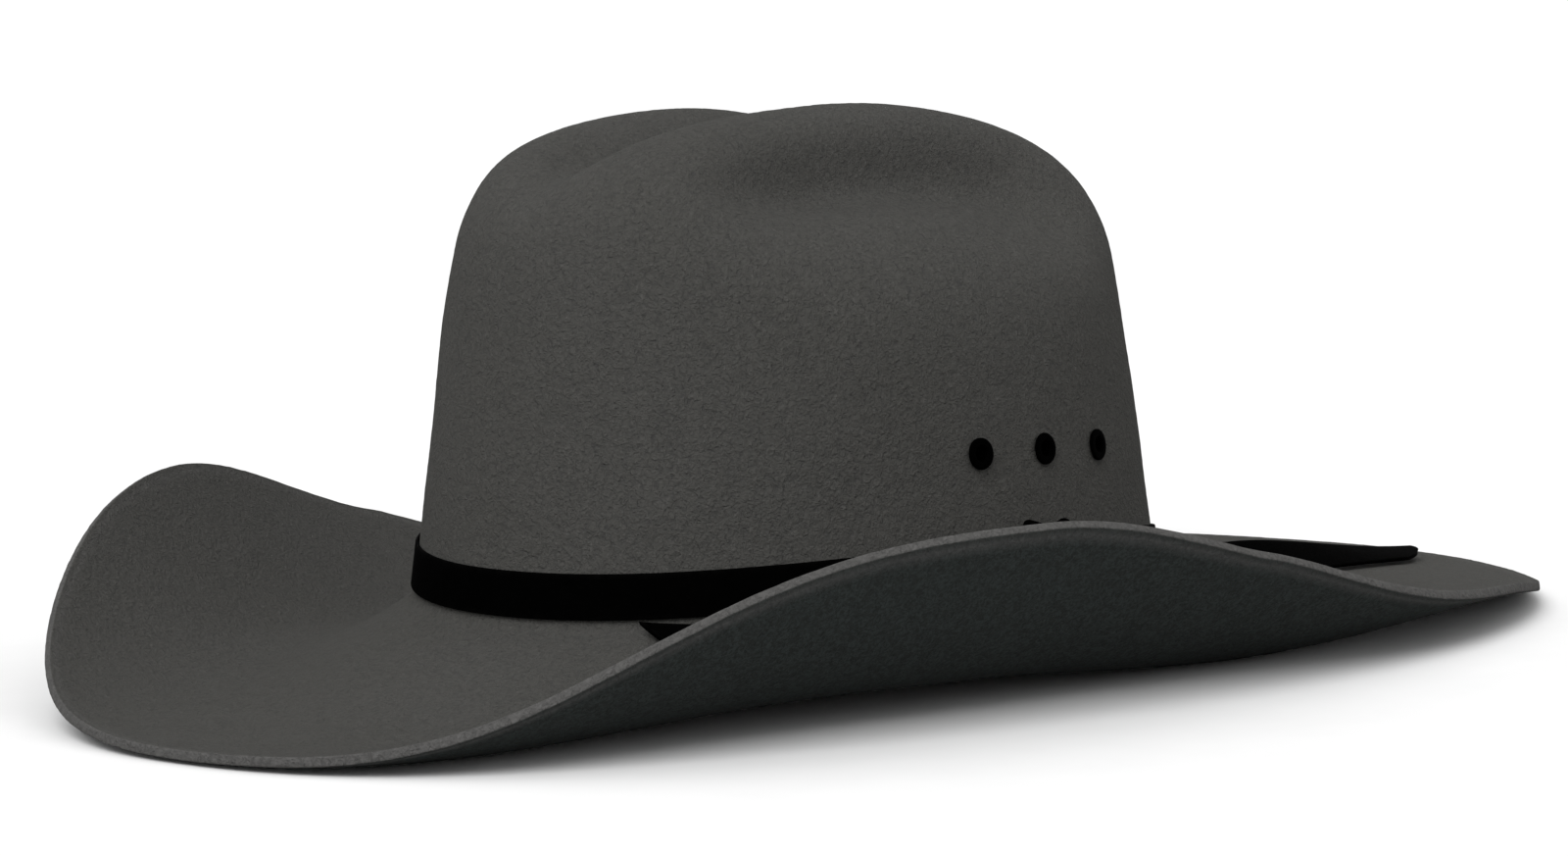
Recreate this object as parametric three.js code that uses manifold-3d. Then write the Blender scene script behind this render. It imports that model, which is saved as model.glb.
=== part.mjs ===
// A cattleman-crown cowboy hat in blocked wool felt, with its hatband, eyelets and sweatband.
// Millimetres, +Z up. The hat rests on its brim on the plane z = 0, its front faces -Y and
// +X is the wearer's left. Angles round the head start at +X and pass the back at +90 degrees.
import * as THREE from "three";
import Module from "manifold-3d";
import { ParametricGeometry } from "three/addons/geometries/ParametricGeometry.js";
import { mergeVertices } from "three/addons/utils/BufferGeometryUtils.js";

const wasm = await Module();
wasm.setup();

const { PI, sin, cos, abs, sign, min, max, exp, round } = Math;
const DEG = PI / 180;

// ---------------------------------------------------------------- driving dimensions
const GAP = 0.3; // clearance between touching pieces
const FELT = 2.6; // thickness of the felt
const CENTRE_Y = -2; // the crown's centre, ahead of the middle of the brim

const CROWN = {
  halfWidth: 84.9, // of the oval at the brim break, at mid-thickness
  halfLength: 103.1,
  ovalPower: 2.145,
  baseHeight: 19.2, // of the brim break at the sides
  saddle: 7.5, // the break is this much lower at the front and back
  backLean: 5.8, // and this much lower again at the back, higher at the front
  leftLean: 0.9, // the left side stands this much higher, the right side as much lower
  height: 121.4, // from the break to the undented top
  sideTaper: 13.5, // how much each half-size shrinks towards the top
  frontTaper: 19.2,
  backTaper: 15,
  shoulderPower: 12, // how square the shoulder is
  topPower: 2.87,
  wallShare: 0.88, // the share of the height that counts as wall
  rearFall: 5.8, // how far the top falls behind the middle
  rearFallEnd: 85,
  dentZone: [45, 12], // the top's dents fade out between these depths below it
};

const CREASE = {
  depth: 12.4,
  x: -14, // hand-creased, a little to the wearer's right
  halfWidth: 14.6,
  frontY: -102,
  deepY: -44,
  fadeY: 42,
  endY: 70,
  rearShare: 0.29,
};
const DENT = {
  x: 69.4, // from the line between the dents, which leans over to the crease's x
  y: -19,
  z: 133.3,
  leanFrom: 90,
  leanHeight: 40,
  spreadX: 18.6,
  spreadAhead: 50,
  spreadBehind: 110,
  spreadZ: 25.8,
  power: 2.6,
  splay: 0.164, // how fast the dents part towards the back
  inward: 19,
  down: 16,
};

const BRIM = {
  halfWidth: 156, // of the edge's plan outline, from the crown's centre
  front: 216,
  back: 220,
  planPower: 2.24,
  rearSpread: 0.11, // how much wider the outline is towards the back
  edgeHeight: 1.5, // of the edge where the brim isn't curled
  rearDrop: 0.5,
  leftRise: 1.2, // the left side stands this much higher, the right side as much lower
  rearLift: 6, // of the rear corners, and where they are
  rearLiftAngle: 30,
  rearLiftSpread: 16,
  sideReach: 0.29, // where the brim's section is pulled down, as a share of its width
  sideReachY: 0.5,
  sidePull: -18, // and to what height
  frontReach: 0.625,
  frontPull: -4,
  rearReach: 0.2,
  rearPull: 8.5,
  rearEase: 2.6, // how quickly the rear takes over from the sides
  breakRadius: 3, // of the bend from the crown's wall to the brim
};

// The two sides are rolled by hand and differ a little. Each curl is highest at an angle
// ahead of the side, and fades over these degrees towards the front and the rear.
const CURL = {
  left: { height: 46.2, angle: -17.5, frontSpread: 36.3, frontPower: 2.7, rearSpread: 27.7 },
  right: { height: 47, angle: -20.6, frontSpread: 31.5, frontPower: 2, rearSpread: 26 },
  blend: 0.3, // how wide the change from one side to the other is, as a cosine
};

const BAND = { low: 3.5, width: 11.2, thick: 0.9 }; // heights above the break
const KNOT = {
  length: 20,
  height: 17.4,
  thick: 5.4,
  low: 1.5,
  corner: 4.5,
  bevel: 1.5,
  clear: 0.2, // beyond the gap to the band
  bow: 260, // twice the radius its back is bowed to
};
const TAIL = { width: 11, thick: 1.1, lift: 0.9, stations: 20 };
const FRONT_TAIL = {
  start: -8.5, // degrees
  end: -66.3,
  reachStart: 6.5, // of the lower edge, out from the break
  reachEnd: 13,
  bulge: 4.9, // further out than that in the middle
  twistStart: 70,
  twistEnd: 10,
  twistPower: 0.4,
  slant: 18, // of the cut end
};
const REAR_TAIL = {
  start: 8.5,
  end: 68.5,
  anglePower: 0.5,
  spanEnd: 0.859, // of the brim's section
  spanPower: 1.49,
  twistStart: 70,
  twistEnd: 7.5,
  twistPower: 1.6,
  slant: 13,
};

const EYELET = {
  barrel: 2.5,
  bore: 1.9,
  flange: 4,
  flangeThick: 0.7,
  chamfer: 0.3, // of the flange's outer and inner corners
  lipReach: 0.6, // of the turned lip, beyond the barrel
  lipThick: 0.3,
  lipSlope: 0.2,
  hole: 2.8,
  segments: 18,
  holeSegments: 16,
};
const EYELET_PLACES = [
  { name: "front", angle: -10.2 * DEG, height: 36.7 },
  { name: "middle", angle: 2 * DEG, height: 36.2 },
  { name: "rear", angle: 15.4 * DEG, height: 35.8 },
];
const WASHER = { outer: 4.2, inner: 2.8, thick: 0.5, clear: 0.5 };

const SWEATBAND = { low: -1.5, high: 38, thick: 1, standOff: 2.2, buttGap: 2 };
const REED = { radius: 0.75, height: 1.2, sides: 6 };
const SEAM_TAPE = { width: 14, thick: 0.4, low: 5, high: 35 };
const BOW = { halfSpan: 13, lobe: 4.6, waist: 1.5, thick: 1.2, height: 7 };
const LABEL = { width: 16, thick: 0.4, low: 24, high: 48, angle: 78 };

const ROUND_STEPS = 60; // stations round the head
const TOP_STEPS = 9;
const WALL_STEPS = 6;
const BREAK_STEPS = 2;
const BRIM_STEPS = 9;

// ---------------------------------------------------------------- the felt's middle surface
const bend = (value, power) => sign(value) * abs(value) ** power;
const mix = (a, b, share) => a + (b - a) * share;
const smooth = (low, high, value) => THREE.MathUtils.smoothstep(value, low, high);

// A point of a super-ellipse.
function oval(angle, halfX, halfY, power) {
  return new THREE.Vector3(
    halfX * bend(cos(angle), 2 / power),
    halfY * bend(sin(angle), 2 / power),
    0,
  );
}

// How far the brim break lies below baseHeight.
const breakDrop = (angle) =>
  CROWN.saddle * sin(angle) ** 2 + CROWN.backLean * sin(angle) - CROWN.leftLean * cos(angle);

// The crown before it is creased: rise goes from 0 at the break to 1 at the top, and
// inset from 1 at the wall to 0 in the middle of the top.
function openCrown(angle, rise, inset) {
  const taperY = sin(angle) < 0 ? CROWN.frontTaper : CROWN.backTaper;
  const point = oval(
    angle,
    (CROWN.halfWidth - CROWN.sideTaper * rise) * inset,
    (CROWN.halfLength - taperY * rise) * inset,
    CROWN.ovalPower,
  );
  point.z = CROWN.baseHeight + CROWN.height * rise - breakDrop(angle) * (1 - rise);
  return point;
}

const insetAt = (rise) => (1 - rise ** CROWN.shoulderPower) ** (1 / CROWN.topPower);
const riseAt = (inset) => (1 - inset ** CROWN.topPower) ** (1 / CROWN.shoulderPower);
const gauss = (distance, spread) => exp(-((distance / spread) ** 2));

// Lowers the rear of the top, and presses in the centre crease and the two side dents.
function pressDents(point) {
  const { x, y } = point;
  const top = CROWN.baseHeight + CROWN.height;
  const near = smooth(top - CROWN.dentZone[0], top - CROWN.dentZone[1], point.z);
  const z = point.z - near * CROWN.rearFall * smooth(0, CROWN.rearFallEnd, y);
  const along = smooth(CREASE.frontY, CREASE.deepY, y)
    * mix(1, CREASE.rearShare, smooth(CREASE.fadeY, CREASE.endY, y));
  const off = x - CREASE.x * THREE.MathUtils.clamp((z - DENT.leanFrom) / DENT.leanHeight, 0, 1);
  const behind = y - DENT.y;
  const spread = behind < 0 ? DENT.spreadAhead : DENT.spreadBehind;
  const dent = gauss(abs(off) - DENT.x - DENT.splay * behind, DENT.spreadX)
    * exp(-(abs(behind / spread) ** DENT.power)) * gauss(z - DENT.z, DENT.spreadZ);
  point.x -= sign(off) * DENT.inward * dent;
  point.z = z - CREASE.depth * gauss(x - CREASE.x, CREASE.halfWidth) * along * near - DENT.down * dent;
  return point;
}

const wallPoint = (angle, height) => {
  const rise = height / CROWN.height;
  return pressDents(openCrown(angle, rise, insetAt(rise)));
};

// How far a side's curl lifts the edge, at degrees behind the side.
function curlRise(degrees, curl) {
  const turn = degrees - curl.angle;
  const fade = turn < 0
    ? abs(turn / curl.frontSpread) ** curl.frontPower
    : (turn / curl.rearSpread) ** 2;
  return curl.height * exp(-fade);
}

// The brim's edge, curled up at the sides and highest a little ahead of them.
function brimEdge(angle) {
  const point = oval(angle, BRIM.halfWidth, sin(angle) < 0 ? BRIM.front : BRIM.back, BRIM.planPower);
  point.x *= 1 + BRIM.rearSpread * sin(angle);
  const degrees = Math.asin(sin(angle)) / DEG;
  const leftShare = smooth(-CURL.blend, CURL.blend, cos(angle));
  point.z = BRIM.edgeHeight
    + mix(curlRise(degrees, CURL.right), curlRise(degrees, CURL.left), leftShare)
    + BRIM.rearLift * gauss(degrees - BRIM.rearLiftAngle, BRIM.rearLiftSpread)
    - BRIM.rearDrop * sin(angle) + BRIM.leftRise * cos(angle);
  return point;
}

// The three points of the brim's section at an angle, a quadratic Bezier from break to edge.
function brimSection(angle) {
  const start = openCrown(angle, 0, 1);
  const edge = brimEdge(angle);
  const side = cos(angle) ** 2;
  const ahead = sin(angle) < 0;
  const reach = mix(ahead ? BRIM.frontReach : BRIM.rearReach, BRIM.sideReach, side);
  const reachY = mix(ahead ? BRIM.frontReach : BRIM.rearReach, BRIM.sideReachY, side);
  const eased = ahead ? side : side ** BRIM.rearEase;
  const pull = new THREE.Vector3(
    mix(start.x, edge.x, reach),
    mix(start.y, edge.y, reachY),
    mix(ahead ? BRIM.frontPull : BRIM.rearPull, BRIM.sidePull, eased),
  );
  return new THREE.QuadraticBezierCurve3(start, pull, edge);
}

// Where the bend at the break ends on the brim, as a share of the brim's section.
function breakShare(section) {
  const run = Math.hypot(section.v1.x - section.v0.x, section.v1.y - section.v0.y);
  return BRIM.breakRadius / (2 * run);
}

// The middle surface: stage 0 to 1 is the top, to 2 the wall, to 3 the break, to 4 the brim.
function feltMiddle(angle, stage) {
  if (stage <= 1) {
    const inset = insetAt(CROWN.wallShare) * stage;
    return pressDents(openCrown(angle, riseAt(inset), inset));
  }
  if (stage <= 2)
    return wallPoint(angle, mix(CROWN.height * CROWN.wallShare, BRIM.breakRadius, stage - 1));
  const section = brimSection(angle);
  const share = breakShare(section);
  if (stage >= 3) return section.getPoint(mix(share, 1, stage - 3));
  const wall = wallPoint(angle, BRIM.breakRadius);
  return new THREE.QuadraticBezierCurve3(wall, section.v0, section.getPoint(share)).getPoint(stage - 2);
}

// The middle surface's normal, outwards on the crown and upwards on the brim.
function feltNormal(angle, stage) {
  if (stage < 0.01) return new THREE.Vector3(0, 0, 1);
  const step = 0.004;
  const back = max(stage - step, 0);
  const ahead = min(stage + step, 4);
  const along = feltMiddle(angle, ahead).sub(feltMiddle(angle, back));
  const round = feltMiddle(angle + step, stage).sub(feltMiddle(angle - step, stage));
  return along.cross(round).normalize();
}

// A point of the felt, at an offset from its middle surface.
function feltPoint(angle, stage, offset) {
  return feltMiddle(angle, stage).addScaledVector(feltNormal(angle, stage), offset);
}

// ---------------------------------------------------------------- solids and geometries
// A closed geometry as a solid, with its faces turned outwards.
function solidOf(geometry) {
  const bare = geometry.clone();
  bare.deleteAttribute("normal");
  bare.deleteAttribute("uv");
  const merged = mergeVertices(bare, 1e-3);
  const index = merged.index.array;
  const triVerts = [];
  for (let i = 0; i < index.length; i += 3) {
    const [a, b, c] = index.slice(i, i + 3);
    if (a !== b && b !== c && c !== a) triVerts.push(a, b, c);
  }
  const body = (triangles) => new wasm.Manifold(new wasm.Mesh({
    numProp: 3,
    vertProperties: merged.attributes.position.array,
    triVerts: new Uint32Array(triangles),
  }));
  const solid = body(triVerts);
  return solid.volume() > 0 ? solid : body(triVerts.reverse());
}

function geometryOf(solid) {
  const { vertProperties, triVerts } = solid.getMesh();
  const geometry = new THREE.BufferGeometry();
  geometry.setAttribute("position", new THREE.BufferAttribute(vertProperties, 3));
  geometry.setIndex(new THREE.BufferAttribute(triVerts, 1));
  return geometry;
}

// Moves every vertex of a geometry.
function reshape(geometry, place) {
  const position = geometry.attributes.position;
  const point = new THREE.Vector3();
  for (let i = 0; i < position.count; i++) {
    point.fromBufferAttribute(position, i);
    const moved = place(point);
    position.setXYZ(i, moved.x, moved.y, moved.z);
  }
  return geometry;
}

// A closed ring round the head, from a closed section of points at each angle.
function ringGeometry(sectionSize, place) {
  const surface = (u, v, target) =>
    target.copy(place(u * 2 * PI, round(v * sectionSize) % sectionSize));
  return new ParametricGeometry(surface, ROUND_STEPS, sectionSize);
}

// A point beside the crown's wall: out is measured level, from the felt's middle.
function besideWall(angle, height, out) {
  const step = 0.002;
  const point = wallPoint(angle, height);
  const run = wallPoint(angle + step, height).sub(wallPoint(angle - step, height));
  const away = new THREE.Vector3(run.y, -run.x, 0).normalize();
  return point.addScaledVector(away, out);
}

// A strip that follows the wall, from a box whose x is the angle, y the offset, z the height.
function wallStrip(from, to, inner, outer, low, high, steps) {
  const box = new THREE.BoxGeometry(to - from, outer - inner, high - low, steps, 1, 1);
  box.translate((from + to) / 2, (inner + outer) / 2, (low + high) / 2);
  reshape(box, (p) => besideWall(p.x, p.z, p.y));
  return box;
}

// ---------------------------------------------------------------- eyelets
// The six places, three each side, with their axes pointing out of the crown.
function eyeletPlaces() {
  return ["left", "right"].flatMap((side) => EYELET_PLACES.map((place) => {
    const angle = side === "left" ? place.angle : PI - place.angle;
    const stage = 2 - (place.height - BRIM.breakRadius)
      / (CROWN.height * CROWN.wallShare - BRIM.breakRadius);
    return {
      name: side + "_" + place.name,
      point: feltPoint(angle, stage, FELT / 2),
      axis: feltNormal(angle, stage),
    };
  }));
}

// Stands a geometry that was made round +Y on the crown, at an eyelet's place.
function standOnCrown(geometry, place) {
  const turn = new THREE.Quaternion().setFromUnitVectors(new THREE.Vector3(0, 1, 0), place.axis);
  return geometry.applyQuaternion(turn).translate(place.point.x, place.point.y, place.point.z);
}

const profile = (pairs) => pairs.map(([radius, height]) => new THREE.Vector2(radius, height));

// Flange outside, barrel through the felt and the washer, and a turned lip inside.
function eyeletGeometry(place) {
  const rim = GAP + EYELET.flangeThick;
  const inner = -(FELT + WASHER.clear + WASHER.thick + GAP);
  const lip = inner - EYELET.lipSlope;
  const end = lip - EYELET.lipThick;
  const points = profile([
    [EYELET.bore, end],
    [EYELET.barrel + EYELET.lipReach, end],
    [EYELET.barrel + EYELET.lipReach, lip],
    [EYELET.barrel, inner],
    [EYELET.barrel, GAP],
    [EYELET.flange, GAP],
    [EYELET.flange, rim - EYELET.chamfer],
    [EYELET.flange - EYELET.chamfer, rim],
    [EYELET.bore + EYELET.chamfer, rim],
    [EYELET.bore, rim - EYELET.chamfer],
    [EYELET.bore, end],
  ]);
  return standOnCrown(new THREE.LatheGeometry(points, EYELET.segments), place);
}

function washerGeometry(place) {
  const outside = -(FELT + WASHER.clear);
  const inside = outside - WASHER.thick;
  const points = profile([
    [WASHER.inner, inside],
    [WASHER.outer, inside],
    [WASHER.outer, outside],
    [WASHER.inner, outside],
    [WASHER.inner, inside],
  ]);
  return standOnCrown(new THREE.LatheGeometry(points, EYELET.segments), place);
}

function eyeletHole(place) {
  const punch = new THREE.CylinderGeometry(EYELET.hole, EYELET.hole, 3 * FELT, EYELET.holeSegments);
  return standOnCrown(punch, place);
}

// ---------------------------------------------------------------- the felt body
// The stages of the rings from the middle of the top to the brim's edge.
function feltStages() {
  const counts = [TOP_STEPS, WALL_STEPS, BREAK_STEPS, BRIM_STEPS];
  const stages = [0];
  counts.forEach((count, part) => {
    for (let i = 1; i <= count; i++) stages.push(part + i / count);
  });
  return stages;
}

// One shell: down the outside to the brim's edge, then back up the inside. It is pierced for
// the eyelets and pressed flat where it rests.
function feltGeometry(places) {
  const stages = feltStages();
  const rows = 2 * stages.length - 1;
  const surface = (u, v, target) => {
    const row = round(v * rows);
    const outside = row < stages.length;
    const stage = stages[outside ? row : rows - row];
    target.copy(feltPoint(u * 2 * PI, stage, (outside ? 1 : -1) * (FELT / 2)));
  };
  let felt = solidOf(new ParametricGeometry(surface, ROUND_STEPS, rows));
  for (const place of places) felt = felt.subtract(solidOf(eyeletHole(place)));
  const room = new THREE.BoxGeometry(500, 600, 400).translate(0, 0, 200);
  return geometryOf(felt.intersect(solidOf(room)));
}

// ---------------------------------------------------------------- hatband, knot and tails
function hatbandGeometry() {
  const inner = FELT / 2 + GAP;
  const outer = inner + BAND.thick;
  const section = [
    [inner, BAND.low],
    [outer, BAND.low],
    [outer, BAND.low + BAND.width],
    [inner, BAND.low + BAND.width],
  ];
  return ringGeometry(section.length, (angle, i) => besideWall(angle, section[i][1], section[i][0]));
}

// The knot's pillow, upright against the band at the wearer's left.
function knotGeometry() {
  const [w, h, r] = [KNOT.length / 2 - KNOT.bevel, KNOT.height / 2 - KNOT.bevel, KNOT.corner];
  const outline = new THREE.Shape();
  outline.moveTo(-w + r, -h);
  outline.lineTo(w - r, -h);
  outline.absarc(w - r, -h + r, r, -PI / 2, 0, false);
  outline.absarc(w - r, h - r, r, 0, PI / 2, false);
  outline.absarc(-w + r, h - r, r, PI / 2, PI, false);
  outline.absarc(-w + r, -h + r, r, PI, 1.5 * PI, false);
  const pillow = new THREE.ExtrudeGeometry(outline, {
    depth: KNOT.thick - 2 * KNOT.bevel,
    bevelThickness: KNOT.bevel,
    bevelSize: KNOT.bevel,
    bevelSegments: 2,
    curveSegments: 4,
  });
  pillow.translate(0, 0, KNOT.bevel);
  const start = FELT / 2 + 2 * GAP + BAND.thick + KNOT.clear;
  const middle = KNOT.low + KNOT.height / 2;
  return reshape(pillow, (p) => {
    const foot = besideWall(0, middle + p.y, start + p.z);
    return new THREE.Vector3(foot.x - p.x ** 2 / KNOT.bow, p.x, foot.z);
  });
}

// Where a line this far out from the break runs on the brim's section.
function shareAt(section, distance) {
  let [low, high] = [0, 1];
  for (let i = 0; i < 30; i++) {
    const middle = (low + high) / 2;
    const point = section.getPoint(middle);
    if (Math.hypot(point.x - section.v0.x, point.y - section.v0.y) < distance) low = middle;
    else high = middle;
  }
  return low;
}

// A tail's lower edge on the brim: angle and stage at a share of its length.
function frontTailLine(share) {
  const angle = mix(FRONT_TAIL.start, FRONT_TAIL.end, share) * DEG;
  const reach = mix(FRONT_TAIL.reachStart, FRONT_TAIL.reachEnd, smooth(0, 1, share))
    + FRONT_TAIL.bulge * sin(PI * share);
  const section = brimSection(angle);
  const first = breakShare(section);
  return [angle, 3 + (shareAt(section, reach) - first) / (1 - first)];
}

function rearTailLine(share) {
  const angle = mix(REAR_TAIL.start, REAR_TAIL.end, share ** REAR_TAIL.anglePower) * DEG;
  const section = brimSection(angle);
  const first = breakShare(section);
  const reached = shareAt(section, FRONT_TAIL.reachStart)
    + REAR_TAIL.spanEnd * share ** REAR_TAIL.spanPower;
  return [angle, 3 + (reached - first) / (1 - first)];
}

// A flat strip whose lower edge lies on the brim and whose upper edge turns from upright
// at the knot to almost flat at its slanted end.
function tailGeometry(line, tail) {
  const strip = new THREE.BoxGeometry(1, TAIL.width, TAIL.thick, TAIL.stations, 2, 1);
  const length = feltMiddle(...line(0)).distanceTo(feltMiddle(...line(1)));
  return reshape(strip.translate(0.5, TAIL.width / 2, TAIL.thick / 2), (p) => {
    const cut = 1 - (tail.slant / length) * (1 - p.y / TAIL.width);
    const share = p.x * cut;
    const [angle, stage] = line(share);
    const lift = FELT / 2 + TAIL.lift;
    const foot = feltPoint(angle, stage, lift);
    const ahead = feltPoint(...line(min(share + 0.01, 1)), lift);
    const behind = feltPoint(...line(max(share - 0.01, 0)), lift);
    const run = ahead.sub(behind).normalize();
    const up = feltNormal(angle, stage);
    let inward = up.clone().cross(run).normalize();
    if (inward.x > 0) inward.negate();
    const twist = mix(tail.twistStart, tail.twistEnd, smooth(0, 1, share ** tail.twistPower)) * DEG;
    const across = inward.clone().multiplyScalar(cos(twist)).addScaledVector(up, sin(twist));
    const face = up.clone().multiplyScalar(cos(twist)).addScaledVector(inward, -sin(twist));
    return foot.addScaledVector(across, p.y).addScaledVector(face, p.z);
  });
}

// ---------------------------------------------------------------- inside the crown
const sweatOuter = -(FELT / 2 + SWEATBAND.standOff);
const BACK = PI / 2;

// The leather band, butted at the back with a small gap.
function sweatbandGeometry() {
  const half = SWEATBAND.buttGap / 2 / CROWN.halfWidth;
  return wallStrip(BACK + half, BACK + 2 * PI - half, sweatOuter - SWEATBAND.thick, sweatOuter,
    SWEATBAND.low, SWEATBAND.high, ROUND_STEPS);
}

function reedGeometry() {
  const middle = -(FELT + SWEATBAND.standOff) / 2;
  return ringGeometry(REED.sides, (angle, i) => {
    const turn = (i / REED.sides) * 2 * PI;
    return besideWall(angle, REED.height + REED.radius * sin(turn), middle + REED.radius * cos(turn));
  });
}

function seamTapeGeometry() {
  const half = SEAM_TAPE.width / 2 / CROWN.halfWidth;
  const outer = sweatOuter + GAP + SEAM_TAPE.thick;
  return wallStrip(BACK - half, BACK + half, sweatOuter + GAP, outer, SEAM_TAPE.low, SEAM_TAPE.high, 4);
}

function labelGeometry() {
  const half = LABEL.width / 2 / CROWN.halfWidth;
  const middle = LABEL.angle * DEG;
  const outer = sweatOuter + 2 * GAP + LABEL.thick;
  return wallStrip(middle - half, middle + half, sweatOuter + 2 * GAP, outer, LABEL.low, LABEL.high, 4);
}

// A flat two-lobed bow, against the sweatband at the back of the head.
function bowGeometry() {
  const outline = new THREE.Shape();
  const { halfSpan, lobe, waist } = BOW;
  outline.moveTo(0, -waist);
  outline.quadraticCurveTo(halfSpan / 2, -lobe, halfSpan - 2, -lobe);
  outline.absarc(halfSpan - lobe, 0, lobe, -PI / 3, PI / 3, false);
  outline.quadraticCurveTo(halfSpan / 2, lobe, 0, waist);
  outline.quadraticCurveTo(-halfSpan / 2, lobe, -halfSpan + 2, lobe);
  outline.absarc(-halfSpan + lobe, 0, lobe, (2 * PI) / 3, (4 * PI) / 3, false);
  outline.quadraticCurveTo(-halfSpan / 2, -lobe, 0, -waist);
  const bow = new THREE.ExtrudeGeometry(outline, {
    depth: BOW.thick,
    bevelEnabled: false,
    curveSegments: 5,
  });
  const start = sweatOuter - SWEATBAND.thick - 2 * GAP;
  return reshape(bow, (p) =>
    besideWall(BACK + p.x / CROWN.halfWidth, BOW.height + p.y, start - p.z));
}

// ---------------------------------------------------------------- the scene graph
const looks = {
  felt: { color: 0x444442, roughness: 0.95 },
  band: { color: 0x08080a, roughness: 0.6 },
  eyelet: { color: 0x0b0b0c, roughness: 0.4, metalness: 0.6 },
  washer: { color: 0x8c8a84, roughness: 0.35, metalness: 0.9 },
  leather: { color: 0x2a2320, roughness: 0.55 },
  reed: { color: 0xd8d2c4, roughness: 0.5 },
  ribbon: { color: 0x1a1a1c, roughness: 0.5 },
  tape: { color: 0x5a5650, roughness: 0.9 },
  label: { color: 0xe8e5dc, roughness: 0.9 },
};

const hat = new THREE.Group();
hat.position.y = CENTRE_Y;

function add(name, look, geometry) {
  const closed = geometryOf(solidOf(geometry));
  const mesh = new THREE.Mesh(closed, new THREE.MeshStandardMaterial(looks[look]));
  mesh.name = name;
  hat.add(mesh);
}

const places = eyeletPlaces();
add("felt_body", "felt", feltGeometry(places));
add("hatband", "band", hatbandGeometry());
add("hatband_knot", "band", knotGeometry());
add("hatband_tail_front", "band", tailGeometry(frontTailLine, FRONT_TAIL));
add("hatband_tail_rear", "band", tailGeometry(rearTailLine, REAR_TAIL));
for (const place of places) {
  add("eyelet_" + place.name, "eyelet", eyeletGeometry(place));
  add("eyelet_washer_" + place.name, "washer", washerGeometry(place));
}
add("sweatband", "leather", sweatbandGeometry());
add("sweatband_reed", "reed", reedGeometry());
add("sweatband_seam_tape", "tape", seamTapeGeometry());
add("sweatband_bow", "ribbon", bowGeometry());
add("size_label", "label", labelGeometry());

export default hat;
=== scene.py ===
"""A cowboy hat of wool felt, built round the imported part: metres, +Z up, the front faces -Y."""
import math

import bmesh
import bpy
import numpy as np
from mathutils import Matrix, Vector, noise

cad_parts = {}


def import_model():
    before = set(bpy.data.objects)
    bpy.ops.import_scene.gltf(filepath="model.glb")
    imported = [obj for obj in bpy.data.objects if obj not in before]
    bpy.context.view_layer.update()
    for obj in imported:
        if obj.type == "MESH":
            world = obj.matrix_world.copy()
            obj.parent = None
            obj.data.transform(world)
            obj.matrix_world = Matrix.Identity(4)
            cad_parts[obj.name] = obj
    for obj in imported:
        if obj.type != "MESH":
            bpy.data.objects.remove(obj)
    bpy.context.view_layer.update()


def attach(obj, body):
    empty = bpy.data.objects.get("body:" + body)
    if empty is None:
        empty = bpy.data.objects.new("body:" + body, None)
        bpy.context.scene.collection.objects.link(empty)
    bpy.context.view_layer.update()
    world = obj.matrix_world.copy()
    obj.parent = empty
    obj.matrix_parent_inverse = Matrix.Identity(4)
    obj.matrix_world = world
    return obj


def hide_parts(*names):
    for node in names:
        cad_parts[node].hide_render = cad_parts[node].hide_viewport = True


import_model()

MM = 0.001
DEG = math.pi / 180

# ------------------------------------------------------------ the hat's dimensions, in mm
FELT = 2.6
CENTRE_Y = -2.0
GAP = 0.3
HALF_WIDTH, HALF_LENGTH, OVAL_POWER = 84.9, 103.1, 2.145
BASE, HEIGHT = 19.2, 121.4
SADDLE, BACK_LEAN, LEFT_LEAN = 7.5, 5.8, 0.9
SIDE_TAPER, FRONT_TAPER, BACK_TAPER = 13.5, 19.2, 15.0
SHOULDER_POWER, TOP_POWER, WALL_SHARE = 12.0, 2.87, 0.88
REAR_FALL, REAR_END = 5.8, 85.0
DENT_ZONE = (45, 12)  # the top's dents fade out between these depths below it
CREASE = dict(depth=12.4, x=-14, half_width=14.6, front=-102, deep=-44, fade=42, end=70, rear=0.29)
DENT = dict(x=69.4, y=-19, z=133.3, sx=18.6, ahead=50, behind=110, sz=25.8, power=2.6, inward=19,
            down=16, splay=0.164, lean_from=90, lean_height=40)
BRIM_HALF, BRIM_FRONT, BRIM_BACK, PLAN_POWER, REAR_SPREAD = 156.0, 216.0, 220.0, 2.24, 0.11
EDGE, REAR_DROP, LEFT_RISE = 1.5, 0.5, 1.2
LEFT_CURL = dict(height=46.2, angle=-17.5, front=36.3, power=2.7, rear=27.7)
RIGHT_CURL = dict(height=47, angle=-20.6, front=31.5, power=2.0, rear=26)
CURL_BLEND = 0.3
REAR_LIFT, REAR_LIFT_ANGLE, REAR_LIFT_SPREAD = 6.0, 30.0, 16.0
SIDE_REACH, SIDE_REACH_Y, SIDE_PULL = 0.29, 0.5, -18.0
FRONT_REACH, FRONT_PULL = 0.625, -4.0
REAR_REACH, REAR_PULL, REAR_EASE = 0.2, 8.5, 2.6
BREAK = 3.0
BAND_LOW, BAND_WIDTH, BAND_THICK = 3.5, 11.2, 0.9


def clamp01(value):
    return np.clip(value, 0.0, 1.0)


def smooth(low, high, value):
    t = clamp01((value - low) / (high - low))
    return t * t * (3 - 2 * t)


def mix(a, b, share):
    return a + (b - a) * share


def gauss(distance, spread):
    return np.exp(-((distance / spread) ** 2))


def power_of(value, power):
    return np.sign(value) * np.abs(value) ** power


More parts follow.
